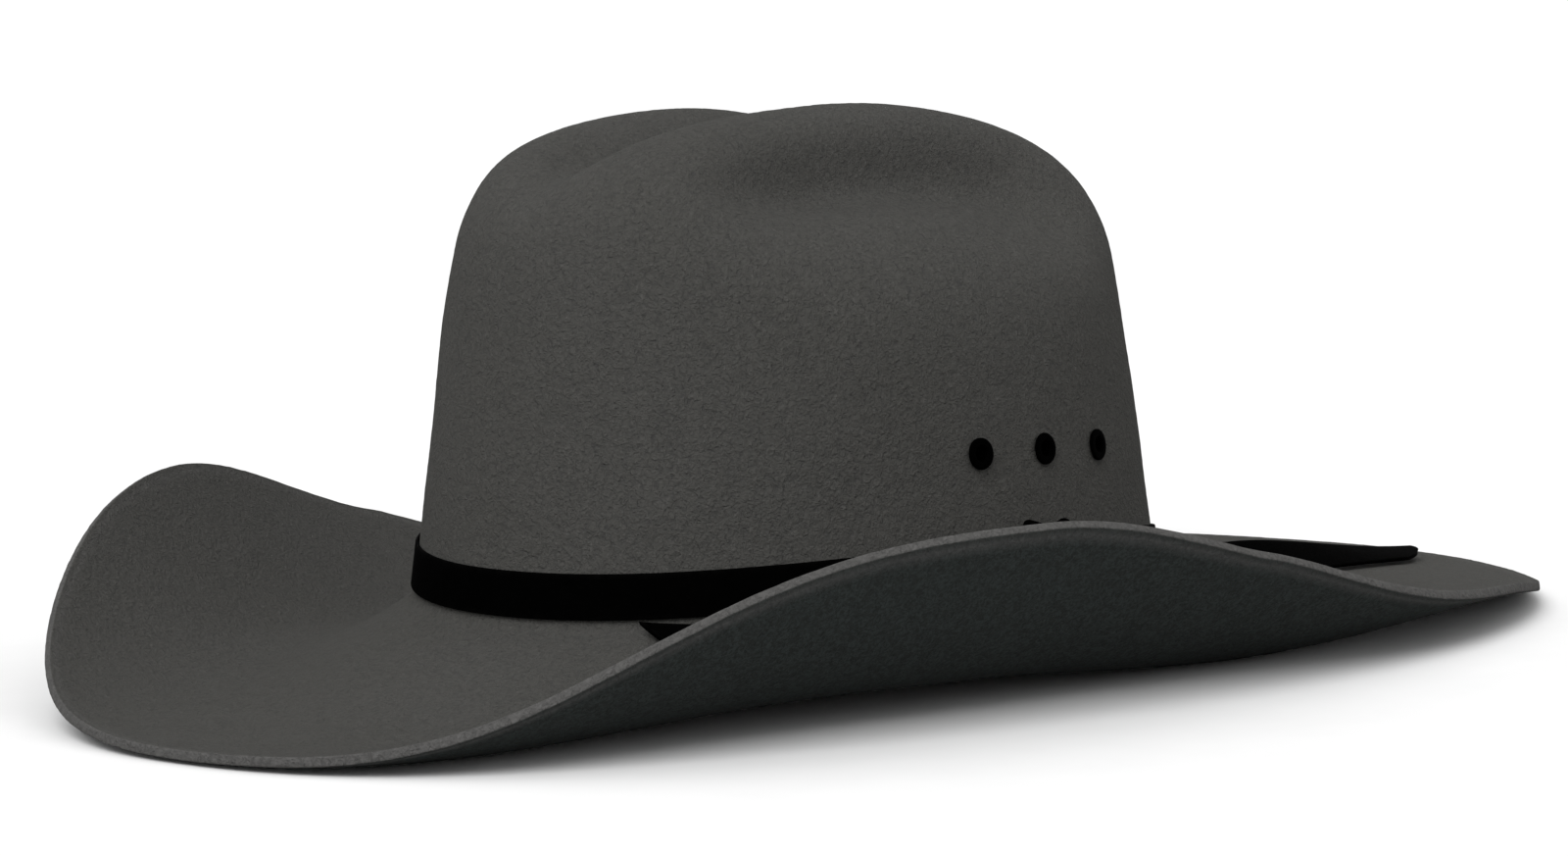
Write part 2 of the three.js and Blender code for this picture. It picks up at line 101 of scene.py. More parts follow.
# ------------------------------------------------------------ the felt's middle surface
def break_drop(angle):
    """How far the brim break lies below BASE: it dips at the front and back, and leans back."""
    return SADDLE * np.sin(angle) ** 2 + BACK_LEAN * np.sin(angle) - LEFT_LEAN * np.cos(angle)


def open_crown(angle, rise, inset):
    """The crown before it is creased. Every argument may be an array."""
    angle, rise, inset = np.broadcast_arrays(angle, rise, inset)
    taper = np.where(np.sin(angle) < 0, FRONT_TAPER, BACK_TAPER)
    x = (HALF_WIDTH - SIDE_TAPER * rise) * inset * power_of(np.cos(angle), 2 / OVAL_POWER)
    y = (HALF_LENGTH - taper * rise) * inset * power_of(np.sin(angle), 2 / OVAL_POWER)
    z = BASE + HEIGHT * rise - break_drop(angle) * (1 - rise)
    return np.stack([x, y, z], -1)


def inset_at(rise):
    return (1 - np.asarray(rise, float) ** SHOULDER_POWER) ** (1 / TOP_POWER)


def rise_at(inset):
    return (1 - np.asarray(inset, float) ** TOP_POWER) ** (1 / SHOULDER_POWER)


def press_dents(p):
    """The rear fall of the top, the crease along it and the dent each side."""
    c, d = CREASE, DENT
    x, y, z = p[..., 0], p[..., 1], p[..., 2]
    top = BASE + HEIGHT
    near = smooth(top - DENT_ZONE[0], top - DENT_ZONE[1], z)
    z = z - near * REAR_FALL * smooth(0, REAR_END, y)
    along = smooth(c["front"], c["deep"], y) * mix(1, c["rear"], smooth(c["fade"], c["end"], y))
    off = x - c["x"] * clamp01((z - d["lean_from"]) / d["lean_height"])
    behind = y - d["y"]
    spread = np.where(behind < 0, d["ahead"], d["behind"])
    dent = gauss(abs(off) - d["x"] - d["splay"] * behind, d["sx"]) * gauss(z - d["z"], d["sz"])
    dent = dent * np.exp(-(np.abs(behind / spread) ** d["power"]))
    crease = c["depth"] * gauss(x - c["x"], c["half_width"]) * along * near
    return np.stack([x - np.sign(off) * d["inward"] * dent, y, z - crease - d["down"] * dent], -1)


def wall_point(angle, height):
    rise = np.asarray(height, float) / HEIGHT
    return press_dents(open_crown(angle, rise, inset_at(rise)))


def curl_rise(degrees, curl):
    turn = degrees - curl["angle"]
    fade = np.where(turn < 0, np.abs(turn / curl["front"]) ** curl["power"], (turn / curl["rear"]) ** 2)
    return curl["height"] * np.exp(-fade)


def brim_edge(angle):
    s, c = np.sin(angle), np.cos(angle)
    x = BRIM_HALF * power_of(c, 2 / PLAN_POWER) * (1 + REAR_SPREAD * s)
    y = np.where(s < 0, BRIM_FRONT, BRIM_BACK) * power_of(s, 2 / PLAN_POWER)
    degrees = np.arcsin(s) / DEG
    left_share = smooth(-CURL_BLEND, CURL_BLEND, c)
    curl = mix(curl_rise(degrees, RIGHT_CURL), curl_rise(degrees, LEFT_CURL), left_share)
    lift = REAR_LIFT * gauss(degrees - REAR_LIFT_ANGLE, REAR_LIFT_SPREAD)
    z = EDGE + curl + lift - REAR_DROP * s + LEFT_RISE * c
    return np.stack([x, y, z], -1)


def brim_section(angle):
    """The three points of the brim's section, from the break to the edge."""
    start, edge = open_crown(angle, 0.0, 1.0), brim_edge(angle)
    side = np.cos(angle) ** 2
    ahead = np.sin(angle) < 0
    reach = mix(np.where(ahead, FRONT_REACH, REAR_REACH), SIDE_REACH, side)
    reach_y = mix(np.where(ahead, FRONT_REACH, REAR_REACH), SIDE_REACH_Y, side)
    low = mix(np.where(ahead, FRONT_PULL, REAR_PULL), SIDE_PULL, np.where(ahead, side, side ** REAR_EASE))
    pull = np.stack([
        mix(start[..., 0], edge[..., 0], reach),
        mix(start[..., 1], edge[..., 1], reach_y),
        low,
    ], -1)
    return start, pull, edge


def bezier(section, share):
    a, b, c = section
    t = np.asarray(share, float)[..., None]
    return a * (1 - t) ** 2 + 2 * b * t * (1 - t) + c * t * t


def break_share(section):
    run = np.hypot(section[1][..., 0] - section[0][..., 0], section[1][..., 1] - section[0][..., 1])
    return BREAK / (2 * run)


def felt_row(angle, stage):
    """A ring of the middle surface: stage 0 to 1 is the top, to 2 the wall, to 3 the break, to 4 the brim."""
    if stage <= 1:
        inset = inset_at(WALL_SHARE) * stage
        return press_dents(open_crown(angle, rise_at(inset), inset))
    if stage <= 2:
        return wall_point(angle, mix(HEIGHT * WALL_SHARE, BREAK, stage - 1))
    section = brim_section(angle)
    share = break_share(section)
    if stage >= 3:
        return bezier(section, mix(share, 1.0, stage - 3))
    bend = (wall_point(angle, BREAK), section[0], bezier(section, share))
    return bezier(bend, np.full(angle.shape, stage - 2.0))


def unit(v):
    return v / np.maximum(np.linalg.norm(v, axis=-1, keepdims=True), 1e-12)


def row_normal(angle, stage):
    step = 0.004
    if stage < 0.01:
        return np.tile([0.0, 0.0, 1.0], angle.shape + (1,))
    along = felt_row(angle, min(stage + step, 4)) - felt_row(angle, max(stage - step, 0))
    ring = felt_row(angle + step, stage) - felt_row(angle - step, stage)
    return unit(np.cross(along, ring))


def felt_point(angle, stage, offset):
    angle = np.atleast_1d(np.asarray(angle, float))
    return felt_row(angle, stage) + row_normal(angle, stage) * offset


def beside_wall(angle, height, out):
    """Points beside the crown's wall; out is measured level from the felt's middle."""
    step = 0.002
    angle, height, out = (np.asarray(v, float) for v in (angle, height, out))
    p = wall_point(angle, height)
    run = wall_point(angle + step, height) - wall_point(angle - step, height)
    away = np.stack([run[..., 1], -run[..., 0], np.zeros(run.shape[:-1])], -1)
    return p + unit(away) * out[..., None]


# ------------------------------------------------------------ making pieces
def to_frame(points):
    """From mm round the crown's centre to metres in the part's frame."""
    return (np.asarray(points, float) + [0, CENTRE_Y, 0]) * MM


def make_piece(name, points, faces, material, body, nodes=(), smooth_faces=True):
    mesh = bpy.data.meshes.new(name)
    mesh.from_pydata(to_frame(points).tolist(), [], [tuple(f) for f in faces])
    mesh.validate()
    mesh.update()
    obj = bpy.data.objects.new(name, mesh)
    bpy.context.scene.collection.objects.link(obj)
    mesh.polygons.foreach_set("use_smooth", [smooth_faces] * len(mesh.polygons))
    mesh.materials.append(material)
    bm = bmesh.new()
    bm.from_mesh(mesh)
    bmesh.ops.recalc_face_normals(bm, faces=bm.faces)
    bm.to_mesh(mesh)
    bm.free()
    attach(obj, body)
    if nodes:
        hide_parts(*nodes)
    return obj


def grid_faces(rows, columns, close_rows=False, close_columns=True, start=0):
    """Quads of a grid of points that are stored row by row."""
    r = np.arange(rows if close_rows else rows - 1)
    c = np.arange(columns if close_columns else columns - 1)
    a = (r[:, None] * columns + c).ravel()
    b = (r[:, None] * columns + (c + 1) % columns).ravel()
    d = (((r + 1) % rows)[:, None] * columns + c).ravel()
    e = (((r + 1) % rows)[:, None] * columns + (c + 1) % columns).ravel()
    return (np.stack([a, b, e, d], -1) + start).tolist()


def set_attribute(obj, name, values):
    layer = obj.data.attributes.new(name, "FLOAT", "POINT")
    layer.data.foreach_set("value", np.asarray(values, np.float32))


# ------------------------------------------------------------ materials
class Nodes:
    """A material's node tree, with short calls for what the materials here need."""

    def __init__(self, name):
        self.material = bpy.data.materials.new(name)
        self.material.use_nodes = True
        self.tree = self.material.node_tree
        self.tree.nodes.clear()
        self.shader = self.add("ShaderNodeBsdfPrincipled")
        out = self.add("ShaderNodeOutputMaterial")
        self.link(self.shader.outputs[0], out.inputs[0])
        self.place = self.add("ShaderNodeTexCoord").outputs["Object"]

    def add(self, kind, **settings):
        node = self.tree.nodes.new(kind)
        for key, value in settings.items():
            setattr(node, key, value)
        return node

    def link(self, a, b):
        self.tree.links.new(a, b)

    def fill(self, node, **values):
        for key, value in values.items():
            socket = node.inputs[key.replace("_", " ")]
            if isinstance(value, bpy.types.NodeSocket):
                self.link(value, socket)
            else:
                socket.default_value = value
        return node

    def noise(self, scale, detail=3.0, roughness=0.55, distortion=0.0, place=None):
        node = self.add("ShaderNodeTexNoise")
        self.fill(node, Vector=place or self.place, Scale=scale, Detail=detail, Roughness=roughness,
                  Distortion=distortion)
        return node.outputs["Fac"]

    def voronoi(self, scale, feature="F1", place=None, randomness=1.0):
        node = self.add("ShaderNodeTexVoronoi", feature=feature)
        self.fill(node, Vector=place or self.place, Scale=scale, Randomness=randomness)
        return node.outputs["Distance"]

    def math(self, operation, a, b=None, clamp=False):
        node = self.add("ShaderNodeMath", operation=operation, use_clamp=clamp)
        for i, value in enumerate((a, b)):
            if value is None:
                continue
            if isinstance(value, bpy.types.NodeSocket):
                self.link(value, node.inputs[i])
            else:
                node.inputs[i].default_value = value
        return node.outputs[0]

    def range(self, value, low, high, to_low=0.0, to_high=1.0):
        node = self.add("ShaderNodeMapRange")
        self.link(value, node.inputs[0])
        for i, v in enumerate((low, high, to_low, to_high)):
            node.inputs[i + 1].default_value = v
        return node.outputs[0]

    def blend(self, share, a, b):
        node = self.add("ShaderNodeMix", data_type="RGBA")
        for socket, value in ((node.inputs[0], share), (node.inputs[6], a), (node.inputs[7], b)):
            if isinstance(value, bpy.types.NodeSocket):
                self.link(value, socket)
            elif isinstance(value, float):
                socket.default_value = value
            else:
                socket.default_value = (*value, 1.0)
        return node.outputs[2]

    def bump(self, height, distance, strength=1.0, normal=None):
        node = self.add("ShaderNodeBump")
        self.fill(node, Height=height, Distance=distance, Strength=strength)
        if normal:
            self.link(normal, node.inputs["Normal"])
        return node.outputs[0]

    def attribute(self, name):
        return self.add("ShaderNodeAttribute", attribute_name=name).outputs["Fac"]

    def stretched(self, scale, turn=(0, 0, 0)):
        node = self.add("ShaderNodeMapping")
        self.fill(node, Vector=self.place, Scale=scale, Rotation=turn)
        return node.outputs[0]


def grey(value, warm=0.0):
    return (value * (1 + warm), value, value * (1 - warm))


def felt_material():
    n = Nodes("wool_felt")
    # the cut edge mask: lighter raw felt on the edge's face, plus a painted highlight of the fuzzy rim spread
    # onto the brim's top and underside near the edge
    edge = n.attribute("cut_edge_and_rim_highlight")
    # the underside mask: painted shade that darkens and tints the felt's underside, and it also places the
    # underside's grain curds
    under_shade_and_grain = n.attribute("underside_shade_and_grain")
    broad = n.noise(14.0, 2.0)
    mottle = n.noise(210.0, 3.0, 0.6)
    pebble = n.noise(760.0, 3.0, 0.62, 0.9)
    fibre = n.noise(1.0, 2.0, 0.6, 1.2, n.stretched((1900.0, 700.0, 700.0), (0.4, 0.3, 0.6)))
    fibre_across = n.noise(1.0, 2.0, 0.6, 1.2, n.stretched((700.0, 1900.0, 800.0), (0.2, 0.7, 0.1)))
    base = n.blend(n.range(broad, 0.35, 0.65), (0.0665, 0.0655, 0.0605), (0.0715, 0.0705, 0.066))
    base = n.blend(n.range(mottle, 0.3, 0.7), base, n.blend(0.5, base, (0.081, 0.0795, 0.0745)))
    fleck = n.math("MULTIPLY", n.range(fibre, 0.5, 0.72), n.range(fibre_across, 0.4, 0.7))
    base = n.blend(n.math("MULTIPLY", fleck, 0.5), base, grey(0.14, 0.03))
    base = n.blend(n.math("MULTIPLY", n.range(pebble, 0.5, 0.32), 0.55), base, grey(0.041, 0.0))
    # painted shade: the underside painted darker and green-grey
    base = n.blend(n.math("MULTIPLY", under_shade_and_grain, 0.7), base, (0.013, 0.019, 0.018))
    # the underside's grain curds, lighter patches within the painted shade
    curds = n.math("MULTIPLY", under_shade_and_grain, n.range(n.noise(640.0, 3.0, 0.7, 1.4), 0.44, 0.58))
    base = n.blend(n.math("MULTIPLY", curds, 0.6), base, (0.058, 0.07, 0.068))
    # raw cut felt, lighter, which also serves as the painted highlight of the rim's fuzz
    raw_edge_and_highlight = n.blend(n.range(pebble, 0.35, 0.65), grey(0.085, 0.02), grey(0.13, 0.02))
    base = n.blend(n.math("MULTIPLY", edge, 0.8), base, raw_edge_and_highlight)
    rough = n.range(pebble, 0.3, 0.7, 0.9, 1.0)
    coarse = n.bump(n.math("ADD", pebble, n.math("MULTIPLY", mottle, 0.5)), 0.0009, 1.0)
    fine = n.bump(n.math("ADD", fibre, fibre_across), 0.0003, 0.9, coarse)
    n.fill(n.shader, Base_Color=base, Roughness=rough, Normal=fine, Specular_IOR_Level=0.05,
           Sheen_Weight=0.03, Sheen_Roughness=0.6)
    n.shader.inputs["Sheen Tint"].default_value = (0.75, 0.74, 0.72, 1)
    return n.material


def strap_material():
    n = Nodes("strap_leather")
    grain = n.voronoi(1500.0)
    broad = n.noise(120.0, 3.0)
    base = n.blend(n.range(broad, 0.3, 0.7), grey(0.0002), grey(0.0006, 0.04))
    wear = n.math("MULTIPLY", n.attribute("worn"), n.range(n.noise(420.0), 0.35, 0.65))
    base = n.blend(n.math("MULTIPLY", wear, 0.5), base, grey(0.0018, 0.05))
    normal = n.bump(grain, 0.00007, 0.6, n.bump(broad, 0.0003, 0.5))
    n.fill(n.shader, Base_Color=base, Roughness=n.range(grain, 0.0, 0.8, 0.7, 0.85), Normal=normal,
           Specular_IOR_Level=0.006)
    return n.material


def enamel_material():
    n = Nodes("black_enamel")
    chips = n.noise(2400.0, 4.0)
    base = n.blend(n.range(chips, 0.6, 0.75), grey(0.0002), grey(0.0008))
    normal = n.bump(n.noise(1800.0, 3.0), 0.00003, 0.5)
    n.fill(n.shader, Base_Color=base, Roughness=n.range(chips, 0.3, 0.7, 0.6, 0.75), Normal=normal,
           Specular_IOR_Level=0.006)
    return n.material


def steel_material():
    n = Nodes("washer_steel")
    scratches = n.noise(1.0, 3.0, 0.6, 0.0, n.stretched((900.0, 5200.0, 900.0)))
    base = n.blend(n.range(scratches, 0.3, 0.7), (0.45, 0.44, 0.42), (0.62, 0.61, 0.59))
    n.fill(n.shader, Base_Color=base, Metallic=1.0, Roughness=n.range(scratches, 0.3, 0.7, 0.3, 0.5),
           Normal=n.bump(scratches, 0.00003, 0.4))
    return n.material


def leather_material():
    n = Nodes("sweatband_leather")
    pores = n.voronoi(2100.0)
    creases = n.noise(340.0, 4.0, 0.6, 0.8)
    base = n.blend(n.range(creases, 0.3, 0.7), (0.012, 0.009, 0.008), (0.028, 0.02, 0.017))
    base = n.blend(n.math("MULTIPLY", n.range(pores, 0.0, 0.25, 1.0, 0.0), 0.5), base, (0.006, 0.005, 0.005))
    normal = n.bump(pores, 0.00006, 0.7, n.bump(creases, 0.0002, 0.6))
    n.fill(n.shader, Base_Color=base, Roughness=n.range(creases, 0.3, 0.7, 0.42, 0.6), Normal=normal,
           Specular_IOR_Level=0.35)
    return n.material


def woven_material(name, dark, light, threads, sheen=0.1):
    """Plain weave: two sets of threads, level and upright."""
    n = Nodes(name)
    parts = n.add("ShaderNodeSeparateXYZ")
    n.link(n.place, parts.inputs[0])
    turn = 2 * math.pi * threads
    weft = n.math("SINE", n.math("MULTIPLY", parts.outputs[2], turn))
    warp = n.math("SINE", n.math("MULTIPLY", parts.outputs[0], turn))
    over = n.math("MAXIMUM", weft, warp)
    fuzz = n.noise(1900.0, 3.0)
    share = n.math("ADD", n.range(over, -1.0, 1.0, 0.0, 0.7), n.range(fuzz, 0.3, 0.7, 0.0, 0.3), clamp=True)
    n.fill(n.shader, Base_Color=n.blend(share, dark, light), Roughness=n.range(fuzz, 0.3, 0.7, 0.75, 0.95),
           Normal=n.bump(over, 0.0001, 0.6, n.bump(fuzz, 0.00004, 0.5)), Specular_IOR_Level=0.2,
           Sheen_Weight=sheen)
    return n.material


def reed_material():
    n = Nodes("reed_plastic")
    cloud = n.noise(300.0, 3.0)
    base = n.blend(n.range(cloud, 0.3, 0.7), (0.5, 0.46, 0.38), (0.62, 0.58, 0.5))
    n.fill(n.shader, Base_Color=base, Roughness=n.range(cloud, 0.3, 0.7, 0.4, 0.55),
           Normal=n.bump(n.noise(1400.0), 0.00004, 0.4))
    return n.material


FELT_LOOK = felt_material()
STRAP_LOOK = strap_material()
ENAMEL_LOOK = enamel_material()
STEEL_LOOK = steel_material()
LEATHER_LOOK = leather_material()
REED_LOOK = reed_material()
TAPE_LOOK = woven_material("cotton_tape", (0.05, 0.046, 0.04), (0.12, 0.11, 0.1), 1400.0)
BOW_LOOK = woven_material("satin_ribbon", (0.006, 0.006, 0.007), (0.02, 0.02, 0.022), 2600.0, 0.2)
LABEL_LOOK = woven_material("label_weave", (0.5, 0.49, 0.45), (0.78, 0.77, 0.72), 2200.0)
THREAD_LOOK = woven_material("waxed_thread", (0.02, 0.018, 0.016), (0.07, 0.065, 0.06), 4000.0)


# ------------------------------------------------------------ eyelet places
EYELETS = (("front", -10.2, 36.7), ("middle", 2.0, 36.2), ("rear", 15.4, 35.8))


def eyelet_places():
    """Name, middle and outward axis of each, from its angle and its height above the break."""
    places = []
    for side_name, left in (("left", True), ("right", False)):
        for place, degrees, height in EYELETS:
            angle = degrees * DEG if left else math.pi - degrees * DEG
            stage = 2 - (height - BREAK) / (HEIGHT * WALL_SHARE - BREAK)
            at = felt_point(angle, stage, FELT / 2)[0]
            places.append((f"{side_name}_{place}", at, row_normal(np.array([angle]), stage)[0]))
    return places


PLACES = eyelet_places()


# ------------------------------------------------------------ the felt body
ROUND = 600  # points in each ring
FIRST_STAGE = 0.004  # the innermost ring of the top
CORNER = 0.7  # of the cut edge
FLOOR_CLEAR = 0.02


def spaced(low, high, count):
    return list(np.linspace(low, high, count + 1)[1:])


def felt_body():
    angle = np.linspace(0, 2 * math.pi, ROUND, endpoint=False)
    outside = [FIRST_STAGE] + spaced(0.02, 1, 60) + spaced(1, 2, 72) + spaced(2, 3, 8) + spaced(3, 4, 82)
    inside = [FIRST_STAGE] + spaced(0.02, 1, 24) + spaced(1, 2, 30) + spaced(2, 3, 6) + spaced(3, 4, 82)
    rows, edge_and_highlight_share, under_shade_and_grain_share = [], [], []
    half = FELT / 2
    for stage in outside[:-1]:
        rows.append(felt_point(angle, stage, half))
        # a painted highlight on the top, just inside the rim
        edge_and_highlight_share.append(0.4 * float(smooth(3.97, 3.99, stage)))
        under_shade_and_grain_share.append(0.0)
    # the cut edge: two rounded corners and a face between them
    rim, up = felt_row(angle, 4.0), row_normal(angle, 4.0)
    out = unit(rim - felt_row(angle, 3.98))
    for turn in np.linspace(90, -90, 13):
        t = turn * DEG
        lift = power_of(math.sin(t), 0.55) * half
        rows.append(rim + up * lift + out * CORNER * abs(math.cos(t)) ** 0.6)
        # the edge's face: lighter raw felt, partly painted highlight
        edge_and_highlight_share.append(float(smooth(0.15, 0.7, math.cos(t))))
        # painted shade on the cut edge's lower corner
        under_shade_and_grain_share.append(0.0 if turn > -60 else 0.6)
    for stage in inside[:-1][::-1]:
        rows.append(felt_point(angle, stage, -half))
        # a painted highlight on the underside, just inside the rim
        edge_and_highlight_share.append(0.8 * float(smooth(3.965, 3.99, stage)))
        # painted shade over the brim's underside, from the break outwards
        under_shade_and_grain_share.append(float(smooth(2.6, 3.1, stage)))
    points = np.stack(rows)
    count = len(rows)
    points = points.reshape(-1, 3)
    points = roughen(points)
    points[:, 2] = np.maximum(points[:, 2], FLOOR_CLEAR)
    faces = grid_faces(count, ROUND)
    first, last = len(points), len(points) + 1
    points = np.vstack([points, points[:ROUND].mean(0), points[-ROUND:].mean(0)])
    faces += [(first, (i + 1) % ROUND, i) for i in range(ROUND)]
    tail = (count - 1) * ROUND
    faces += [(last, tail + i, tail + (i + 1) % ROUND) for i in range(ROUND)]
    obj = make_piece("felt_hat", points, faces, FELT_LOOK, "hat", ["felt_body"])
    set_attribute(obj, "cut_edge_and_rim_highlight", np.append(np.repeat(edge_and_highlight_share, ROUND), [0, 0]))
    set_attribute(obj, "underside_shade_and_grain", np.append(np.repeat(under_shade_and_grain_share, ROUND), [0, 0]))
    pierce(obj)
    return obj


NAP_SEED = 1  # a vector noise without a seed differs from run to run


def roughen(points):
    """The felt's own unevenness: broad waves, and a fine nap."""
    noise.seed_set(NAP_SEED)
    vectors = [Vector(p) for p in points.tolist()]
    wave = np.array([noise.noise(v * 0.022) * 0.5 + noise.noise(v * 0.07) * 0.16 for v in vectors])
    nap = np.array([noise.noise_vector(v * 0.55) for v in vectors]) * 0.09
    upright = clamp01((points[:, 2] - 40) / 10) * clamp01((122 - points[:, 2]) / 8)
    away = unit(points * [1, 1, 0]) * upright[:, None]
    away[:, 2] = 1 - upright
    return points + nap + away * (wave * (0.4 + 0.6 * upright))[:, None]


HOLE_RADIUS, PUNCH_LENGTH = 2.8, 12.0


def pierce(obj):
    """Cuts the eyelets' holes through the felt."""
    bm = bmesh.new()
    for _, at, axis in PLACES:
        spin = Vector((0, 0, 1)).rotation_difference(Vector(axis)).to_matrix().to_4x4()
        place = Matrix.Translation(Vector(to_frame(at))) @ spin
        bmesh.ops.create_cone(bm, cap_ends=True, segments=40, radius1=HOLE_RADIUS * MM,
                              radius2=HOLE_RADIUS * MM, depth=PUNCH_LENGTH * MM, matrix=place)
    mesh = bpy.data.meshes.new("punches")
    bm.to_mesh(mesh)
    bm.free()
    punches = bpy.data.objects.new("punches", mesh)
    bpy.context.scene.collection.objects.link(punches)
    cut = obj.modifiers.new("holes", "BOOLEAN")
    cut.object, cut.operation, cut.solver = punches, "DIFFERENCE", "MANIFOLD"
    deps = bpy.context.evaluated_depsgraph_get()
    made = bpy.data.meshes.new_from_object(obj.evaluated_get(deps))
    obj.modifiers.clear()
    obj.data = made
    bpy.data.objects.remove(punches)


# ------------------------------------------------------------ strips
def round_section(width, thick, corner, per_corner=3):
    """A rounded rectangle from 0 to width and 0 to thick, as (across, through) pairs."""
    pairs = []
    for cx, cy, start in ((width - corner, thick - corner, 0), (corner, thick - corner, 90),
                          (corner, corner, 180), (width - corner, corner, 270)):
        for i in range(per_corner + 1):
            t = (start + 90 * i / per_corner) * DEG
            pairs.append((cx + corner * math.cos(t), cy + corner * math.sin(t)))
    return pairs


def fine_section(width, thick, corner, steps=10):
    """The same, with points along the two wide faces as well."""
    pairs = round_section(width, thick, corner)
    full = []
    for a, b in zip(pairs, pairs[1:] + pairs[:1]):
        full.append(a)
        if abs(a[0] - b[0]) > width / 2:
            full += [(mix(a[0], b[0], i / steps), a[1]) for i in range(1, steps)]
    return full


def hatband():
    angle = np.linspace(0, 2 * math.pi, 480, endpoint=False)
    section = fine_section(BAND_WIDTH, BAND_THICK, 0.4)
    rows, worn = [], []
    for across, through in section:
        ripple = 0.12 * np.sin(angle * 7 + 1) * across / BAND_WIDTH
        rows.append(beside_wall(angle, BAND_LOW + across, FELT / 2 + GAP + through + ripple))
        worn.append(1.0 if min(across, BAND_WIDTH - across) < WORN_EDGE else WORN_FACE)
    obj = make_piece("hatband_strap", np.vstack(rows), grid_faces(len(rows), len(angle), True), STRAP_LOOK,
                     "hatband_set", ["hatband"])
    set_attribute(obj, "worn", np.repeat(worn, len(angle)))
    return obj


def share_at(section, distance):
    """Where a line this far out from the break runs on a brim section."""
    low, high = 0.0, 1.0
    for _ in range(30):
        middle = (low + high) / 2
        p = bezier(section, middle)
        if math.hypot(p[0] - section[0][0], p[1] - section[0][1]) < distance:
            low = middle
        else:
            high = middle
    return low


TAIL_WIDTH, TAIL_THICK, TAIL_LIFT, TAIL_CORNER = 11.0, 1.1, 0.9, 0.35
TAIL_STATIONS, LEAD_STATIONS = 90, 16
TAIL_TIP = 0.985  # the share of a tail beyond which its end is worn
FRONT_TAIL = dict(start=-8.5, end=-66.3, reach_start=6.5, reach_end=13, bulge=4.9, twist_start=70,
                  twist_end=10, twist_power=0.4, slant=18)
REAR_TAIL = dict(start=8.5, end=68.5, angle_power=0.5, span_end=0.859, span_power=1.49,
                 twist_start=70, twist_end=7.5, twist_power=1.6, slant=13)
WORN_EDGE, WORN_FACE = 0.5, 0.15  # how wide the worn edges are, and how worn the faces are


def front_line(share):
    angle = mix(FRONT_TAIL["start"], FRONT_TAIL["end"], share) * DEG
    reach = mix(FRONT_TAIL["reach_start"], FRONT_TAIL["reach_end"], float(smooth(0, 1, share)))
    reach += FRONT_TAIL["bulge"] * math.sin(math.pi * share)
    section = brim_section(np.float64(angle))
    first = float(break_share(section))
    return angle, 3 + (share_at(section, reach) - first) / (1 - first)


def rear_line(share):
    angle = mix(REAR_TAIL["start"], REAR_TAIL["end"], share ** REAR_TAIL["angle_power"]) * DEG
    section = brim_section(np.float64(angle))
    first = float(break_share(section))
    reached = share_at(section, FRONT_TAIL["reach_start"])
    reached += REAR_TAIL["span_end"] * share ** REAR_TAIL["span_power"]
    return angle, 3 + (reached - first) / (1 - first)


def traced(line, lift, samples=240):
    """Points, upward normals and directions along a tail's lower edge, as functions of the share."""
    shares = np.linspace(0, 1, samples + 1)
    feet, ups = [], []
    for share in shares:
        angle, stage = line(float(share))
        feet.append(felt_point(angle, stage, lift)[0])
        ups.append(row_normal(np.array([angle]), stage)[0])
    feet, ups = np.array(feet), np.array(ups)
    runs = np.gradient(feet, shares, axis=0)

    def at(share, table):
        return np.stack([np.interp(share, shares, table[:, k]) for k in range(3)], -1)

    return lambda share: (at(share, feet), unit(at(share, ups)), unit(at(share, runs)))


KNOT_LOW, KNOT_HEIGHT, KNOT_CLEAR = 1.5, 17.4, 0.2
KNOT_MIDDLE = KNOT_LOW + KNOT_HEIGHT / 2
KNOT_START = FELT / 2 + 2 * GAP + BAND_THICK + KNOT_CLEAR
LEAD_OUT, LEAD_ALONG = 1.4, 4.5  # where the strap comes out of the knot, from its middle


def lead_in(toward, foot, side, face, run):
    """Sections of the strap on its way out of the knot, up to a tail's first section."""
    start = beside_wall(0.0, KNOT_MIDDLE - TAIL_WIDTH / 2, KNOT_START + LEAD_OUT)
    start = start + [0, toward * LEAD_ALONG, 0]
    reach = np.linalg.norm(foot - start)
    t = np.linspace(0, 1, LEAD_STATIONS + 1)[:-1, None]
    eased = smooth(0, 1, t)
    path = (start * (1 + 2 * t) * (1 - t) ** 2 + foot * t * t * (3 - 2 * t)
            + np.array([0, toward, 0]) * reach * t * (1 - t) ** 2 - run * reach * t * t * (1 - t))
    sides = unit(mix(np.array([0.0, 0.0, 1.0]), side, eased))
    faces = mix(np.array([1.0, 0.0, 0.0]), face, eased)
    faces = unit(faces - sides * (faces * sides).sum(-1, keepdims=True))
    return path[:, None], sides[:, None], faces[:, None]


